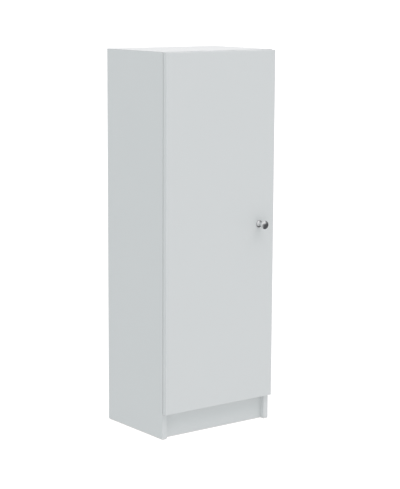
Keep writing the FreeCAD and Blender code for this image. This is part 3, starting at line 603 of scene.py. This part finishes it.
# Pressed, cast and drawn pieces: the solid's own form with its sharp edges eased, by so many millimetres
easedPieces = {
    "upper_hinge_arm": ("nickelSteel", "nickel_steel", 0.22),
    "lower_hinge_arm": ("nickelSteel", "nickel_steel", 0.22),
    "upper_hinge_cup": ("nickelSteel", "nickel_steel", 0.2),
    "lower_hinge_cup": ("nickelSteel", "nickel_steel", 0.2),
    "upper_hinge_link": ("nickelSteel", "nickel_steel", 0.22),
    "lower_hinge_link": ("nickelSteel", "nickel_steel", 0.22),
    "upper_hinge_plate": ("nickelSteel", "nickel_steel", 0.3),
    "lower_hinge_plate": ("nickelSteel", "nickel_steel", 0.3),
    "wall_bracket": ("zincPlate", "zinc_plated_steel", 0.3),
    "shelf_pins": ("nickelSteel", "nickel_steel", 0.25),
    "cam_locks": ("castZinc", "cast_zinc", 0.3),
    "floor_glides": ("glidePlastic", "white_plastic", 0.5),
}
easedAngle = 40  # degrees; gentler edges stay as they are
for node, (finish, slot, width) in easedPieces.items():
    piece = copyOf(node, "eased." + node)
    easeEdges(piece, width * mm, easedAngle)
    paint(piece, finish)
    smoothed(piece)
    seat(piece, slot, node)
print("hardware eased:", len(easedPieces))

# Solids that need no more than their finish keep their own mesh
plainNodes = {
    "back_panel": "hardboard",
    "dowels": "beech",
    "cam_bolts": "zincPlate",
    "hinge_arm_pins": "nickelSteel",
    "hinge_cup_pins": "nickelSteel",
}
for node, finish in plainNodes.items():
    paint(nodes[node], finish)
print("solids painted:", len(plainNodes))

screwLooks = {  # millimetres; faces is the way the head looks
    "hinge_cup_screws": {
        "name": "cupScrew", "faces": (0, 1, 0), "head": 6.6, "height": 1.5, "shank": 3.5, "recess": 3.4,
    },
    "hinge_plate_screws": {
        "name": "plateScrew", "faces": (1, 0, 0), "head": 9, "height": 2, "shank": 5, "recess": 4.4,
    },
    "hinge_arm_screws": {
        "name": "armScrew", "faces": (1, 0, 0), "head": 7.4, "height": 2, "shank": 4, "recess": 3.8,
    },
    "hinge_adjusters": {
        "name": "adjuster", "faces": (1, 0, 0), "head": 5, "height": 0.6, "shank": 4.3, "recess": 3.0,
    },
    "wall_bracket_screws": {
        "name": "bracketScrew", "faces": (0, 0, -1), "head": 7, "height": 2, "shank": 3.5, "recess": 3.6,
    },
    "knob_screw": {
        "name": "knobScrew", "faces": (0, 1, 0), "head": 8, "height": 2.6, "shank": 4, "recess": 4.0,
    },
}
domeLook = {
    "sides": 40,
    "rim": 0.35,  # share of the head's height below the dome
    "turns": (25, 45, 62),  # degrees up the dome
    "draw": 0.4,  # how strongly it draws in as it climbs
    "ease": 0.1 * mm, "easedAngle": 50,  # its edges, where they turn by more degrees than this
}
recessLook = {
    "blade": 0.9,  # millimetres
    "depth": 0.62,  # share of the head's height
    "taper": 0.6,  # share of its width at the floor
}


# A cross-shaped cutter whose two blades narrow towards the bottom of the recess
def crossCutter(look, top):
    depth = top * recessLook["depth"]
    bars = []
    for wide, deep in ((look["recess"], recessLook["blade"]), (recessLook["blade"], look["recess"])):
        bpy.ops.object.select_all(action="DESELECT")
        extent = (wide * mm, deep * mm, 2 * depth)
        bpy.ops.mesh.primitive_cube_add(size=1, location=(0, 0, top), scale=extent)
        bar = started()
        edit(bar)
        pickFaces(bar, (0, 0, -1))
        bpy.ops.transform.resize(value=(recessLook["taper"], recessLook["taper"], 1))
        done()
        bars.append(bar)
    addModifier(bars[0], "BOOLEAN", operation="UNION", object=bars[1], solver="EXACT")
    bpy.data.objects.remove(bars[1])
    return bars[0]


# A screw standing on its seat with its head up: turned head with a low dome, straight shank, cross recess
def makeScrew(look, reach):
    head, height = look["head"] / 2 * mm, look["height"] * mm
    rim = height * domeLook["rim"]
    bpy.ops.object.select_all(action="DESELECT")
    bpy.ops.mesh.primitive_cylinder_add(
        vertices=domeLook["sides"], radius=head, depth=rim, location=(0, 0, rim / 2))
    screw = started()
    edit(screw)
    pickFaces(screw, (0, 0, 1))
    before, share = 0, 1
    for turn in domeLook["turns"]:
        climb = (sin(radians(turn)) - before) / sin(radians(domeLook["turns"][-1]))
        wanted = 1 - domeLook["draw"] * (1 - cos(radians(turn)))
        extrude((0, 0, (height - rim) * climb))
        bpy.ops.transform.resize(value=(wanted / share, wanted / share, 1))
        before, share = sin(radians(turn)), wanted
    pickFaces(screw, (0, 0, -1))
    bpy.ops.mesh.inset(thickness=head - look["shank"] / 2 * mm)
    extrude((0, 0, -reach))
    done()
    cutter = crossCutter(look, max(vertex.co.z for vertex in screw.data.vertices))
    addModifier(screw, "BOOLEAN", operation="DIFFERENCE", object=cutter, solver="EXACT")
    bpy.data.objects.remove(cutter)
    easeEdges(screw, domeLook["ease"], domeLook["easedAngle"])
    paint(screw, "zincPlate")
    smoothed(screw)
    return screw


# A copy of a pattern with a mesh of its own, put in its place
def placeCopy(pattern, name, place):
    copy = bpy.data.objects.new(name, pattern.data.copy())
    bpy.context.scene.collection.objects.link(copy)
    copy.matrix_world = place
    only(copy)
    return started()


# One screw of each kind, copied to every place that the solids give
def setScrews(node, look):
    facing = Vector(look["faces"])
    axis = [index for index in range(3) if facing[index]][0]
    boxes = solidBoxes(node)
    reach = (boxes[0][1] - boxes[0][0])[axis] - look["height"] * mm
    pattern = makeScrew(look, reach)
    for number, (low, high) in enumerate(boxes, 1):
        spot = (low + high) / 2
        outer = high[axis] if facing[axis] > 0 else low[axis]
        spot[axis] = outer - facing[axis] * look["height"] * mm
        place = Matrix.Translation(spot) @ facing.to_track_quat("Z", "Y").to_matrix().to_4x4()
        seat(placeCopy(pattern, f"{look['name']}.{number}", place), "zinc_plated_steel", node)
    bpy.data.objects.remove(pattern)


for node, look in screwLooks.items():
    setScrews(node, look)
print("screws set:", len(screwLooks), "kinds")

knobLook = {  # millimetres
    "base": 11.5, "neck": 5.5, "head": 14, "bore": 2.1,  # radii
    "rim": 2.2, "neckEnd": 22.5, "equator": 30, "reach": 35, "boreDepth": 9.5,  # out from the door
    "lip": 0.35, "shoulder": 3,  # the bevel of the base, and the rounding in front of the equator
    "coveSteps": 12, "bulgeSteps": 12, "shoulderSteps": 8, "crownSteps": 14, "roundSteps": 96,
    "crease": 40,  # degrees
}


# Points of an arc about a middle, as pairs of radius and distance from the door
def arcPoints(middle, radius, start, end, count):
    turns = [radians(start + (end - start) * step / count) for step in range(count + 1)]
    return [(middle[0] + radius * cos(turn), middle[1] + radius * sin(turn)) for turn in turns]


# The knob's half outline, from the floor of its screw bore round to the middle of its crown
def knobOutline(look):
    base, rim, head, equator = look["base"], look["rim"], look["head"], look["equator"]
    outline = [(0, look["boreDepth"]), (look["bore"], look["boreDepth"]), (look["bore"], 0)]
    outline += [(base - look["lip"], 0), (base, look["lip"]), (base, rim)]
    cove = base - look["neck"]
    outline += arcPoints((base, rim + cove), cove, 270, 180, look["coveSteps"])[1:]
    overhang, drop = head - look["neck"], equator - look["neckEnd"]
    bulge = (overhang ** 2 + drop ** 2) / (2 * overhang)
    under = degrees(asin(drop / bulge))
    outline += arcPoints((head - bulge, equator), bulge, -under, 0, look["bulgeSteps"])
    run, rise = head - look["shoulder"], look["reach"] - equator
    crown = (run ** 2 + rise ** 2 - look["shoulder"] ** 2) / (2 * (rise - look["shoulder"]))
    meeting = degrees(atan2(crown - rise, run))
    outline += arcPoints((run, equator), look["shoulder"], 0, meeting, look["shoulderSteps"])[1:]
    outline += arcPoints((0, look["reach"] - crown), crown, meeting, 90, look["crownSteps"])[1:]
    return outline


# The turned knob: its outline drawn by extruding one point, then spun about its axis
def makeKnob(look):
    outline = knobOutline(look)
    bpy.ops.object.select_all(action="DESELECT")
    bpy.ops.mesh.primitive_plane_add(size=1 * mm, location=(0, 0, 0))
    knob = bpy.context.object
    knob.name = "turnedKnob"
    edit(knob)
    bpy.ops.mesh.merge(type="CENTER")
    bpy.ops.mesh.select_mode(type="VERT")
    bpy.ops.mesh.select_all(action="SELECT")
    start = Vector((outline[0][0] * mm, -outline[0][1] * mm, 0))
    bpy.ops.transform.translate(value=start)
    for before, after in zip(outline, outline[1:]):
        extrude(((after[0] - before[0]) * mm, (before[1] - after[1]) * mm, 0))
    bpy.ops.mesh.select_all(action="SELECT")
    bpy.ops.mesh.spin(steps=look["roundSteps"], angle=2 * pi, center=(0, 0, 0), axis=(0, 1, 0))
    bpy.ops.mesh.select_all(action="SELECT")
    bpy.ops.mesh.remove_doubles(threshold=0.5 * touching)
    bpy.ops.mesh.normals_make_consistent(inside=False)
    bpy.ops.mesh.select_all(action="SELECT")
    bpy.ops.transform.translate(value=knobSeat)
    done()
    paint(knob, "polishedChrome")
    smoothed(knob, look["crease"])
    seat(knob, "polished_chrome", "knob")


makeKnob(knobLook)
print("knob turned")

bumperLook = {"sides": 40, "domeSteps": 6, "dome": 0.8 * mm}


# Clear stick-on bumpers with a domed face: one made, then copied
def makeBumpers(look):
    boxes = solidBoxes("door_bumpers")
    size = boxes[0][1] - boxes[0][0]
    bpy.ops.object.select_all(action="DESELECT")
    bpy.ops.mesh.primitive_cylinder_add(
        vertices=look["sides"], radius=size.x / 2, depth=size.y, rotation=(radians(90), 0, 0))
    pattern = started()
    edit(pattern)
    pickFaces(pattern, (0, -1, 0))
    bpy.ops.mesh.bevel(offset=look["dome"], segments=look["domeSteps"], affect="EDGES")
    done()
    paint(pattern, "bumperRubber")
    smoothed(pattern)
    for number, (low, high) in enumerate(boxes, 1):
        bumper = placeCopy(pattern, f"bumper.{number}", Matrix.Translation((low + high) / 2))
        seat(bumper, "soft_pad", "door_bumpers")
    bpy.data.objects.remove(pattern)


makeBumpers(bumperLook)
print("bumpers stuck on")

cameraLook = {
    "eye": (-2.9219, -3.87565, 1.40215),  # metres
    "azimuth": -37.2395, "elevation": 9.6173, "roll": 0.3017,  # degrees
    "focal": 1540.3, "imageHeight": 489,  # pixels
    "sensor": 36.0,  # millimetres
}


def setCamera(look):
    turn, tilt, roll = (radians(look[name]) for name in ("azimuth", "elevation", "roll"))
    back = Vector((sin(turn) * cos(tilt), -cos(turn) * cos(tilt), sin(tilt)))
    level = Vector((cos(turn), sin(turn), 0))
    upright = back.cross(level)
    right = level * cos(roll) + upright * sin(roll)
    up = upright * cos(roll) - level * sin(roll)
    bpy.ops.object.camera_add()
    camera = bpy.context.object
    camera.matrix_world = Matrix.Translation(look["eye"]) @ Matrix((right, up, back)).transposed().to_4x4()
    camera.data.sensor_width = look["sensor"]
    camera.data.lens = look["focal"] * look["sensor"] / look["imageHeight"]
    bpy.context.scene.camera = camera


floorLook = {
    "sides": 96, "radius": 60, "drop": 0.2 * mm,  # metres; a little below the glides
    "white": colour(0.06, 0.06, 0.06), "roughness": 0.7, "uneven": 0.1, "unevenScale": 3,
    "lift": colour(0.806, 0.806, 0.806),  # the light that it gives off
    "glow": colour(1.05, 1.05, 1.05),  # as the camera sees it
    "shade": colour(0.62, 0.62, 0.62), "shadeReach": 300 * mm,  # under the cupboard, behind the plinth
}


# 1 under the boards that stand on the floor, fading out behind the plinth
def underBoards(place, reach):
    sideLow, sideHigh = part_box("right_side_panel")
    plinthLow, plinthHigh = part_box("plinth_panel")
    across, along = place.parts("XY")
    across = place.maths("ABSOLUTE", across)
    underSides = across.within(sideLow.x, sideHigh.x) * along.within(sideLow.y, sideHigh.y)
    insideSides = 1 - across.between(sideLow.x - hairline, sideLow.x)
    plinthFront = along.between(plinthLow.y - hairline, plinthLow.y)
    behindPlinth = plinthFront * (1 - along.between(plinthHigh.y, plinthHigh.y + reach))
    return underSides + insideSides * behindPlinth


# A pale floor that lights the cupboard from below
def setFloor(look):
    bpy.ops.object.select_all(action="DESELECT")
    bpy.ops.mesh.primitive_circle_add(
        vertices=look["sides"], radius=look["radius"], fill_type="NGON", location=(0, 0, -look["drop"]))
    floor = bpy.context.object
    floor.name = "paleFloor"
    floor.visible_glossy = False
    material, place = startFinish("paleFloor")
    seen = place.node("ShaderNodeLightPath", out="Is Camera Ray")
    glow = seen.mix(look["lift"], look["glow"])
    endFinish(
        material,
        Base_Color=look["white"],
        Roughness=look["roughness"] + place.noise(look["unevenScale"]) * look["uneven"],
        Emission_Color=underBoards(place, look["shadeReach"]).mix(glow, look["shade"]),
        Emission_Strength=1.0,
    )
    floor.data.materials.append(material)


surroundLook = {
    "backdrop": colour(1.6, 1.6, 1.6),  # as the camera sees it
    "ambient": colour(0.604, 0.663, 0.675),  # as the boards do
    # as polished metal does: a sky that darkens to the front right,
    # over a ground that is pale to the front left
    "horizon": (-0.10, 0.22), "rear": (0.1, 0.4),
    "sky": colour(0.95, 0.945, 0.94), "skyRight": colour(0.30, 0.30, 0.305), "skyTurn": (0.52, 0.74),
    "ground": colour(0.11, 0.11, 0.115), "groundLeft": colour(0.70, 0.70, 0.70),
    "groundTurn": (-0.35, 0.45),
}


# An even white surround, with soft dark areas that only metal mirrors
def setSurround(look):
    world = bpy.data.worlds.new("softStudio")
    world.use_nodes = True
    bpy.context.scene.world = world
    wire = Wire(world.node_tree)
    right, rear, height = wire.node("ShaderNodeTexCoord", out="Generated").parts()
    front = 1 - rear.between(*look["rear"])
    sky = (front * right.between(*look["skyTurn"])).mix(look["sky"], look["skyRight"])
    ground = (front * (1 - right.between(*look["groundTurn"]))).mix(look["ground"], look["groundLeft"])
    gloss = height.between(*look["horizon"]).mix(ground, sky)
    mirrored = wire.node("ShaderNodeLightPath", out="Is Glossy Ray")
    seen = wire.node("ShaderNodeLightPath", out="Is Camera Ray")
    light = seen.mix(mirrored.mix(look["ambient"], gloss), look["backdrop"])
    world.node_tree.links.new(light.socket, world.node_tree.nodes["Background"].inputs["Color"])
    bpy.context.scene.view_settings.view_transform = "Standard"


lightLook = {
    "height": 4,  # metres
    "tilt": (9.8, 7.4, 0), "spread": 70,  # degrees
    "power": 1.61, "tint": (1.0, 0.87, 0.875),
}


# One very soft light from above
def setLight(look):
    tilt = [radians(angle) for angle in look["tilt"]]
    bpy.ops.object.light_add(type="SUN", location=(0, 0, look["height"]), rotation=tilt)
    light = bpy.context.object
    light.visible_glossy = False  # metal mirrors the surround alone
    light.data.energy = look["power"]
    light.data.color = look["tint"]
    light.data.angle = radians(look["spread"])


setCamera(cameraLook)
setFloor(floorLook)
setSurround(surroundLook)
setLight(lightLook)
print("camera and light set")
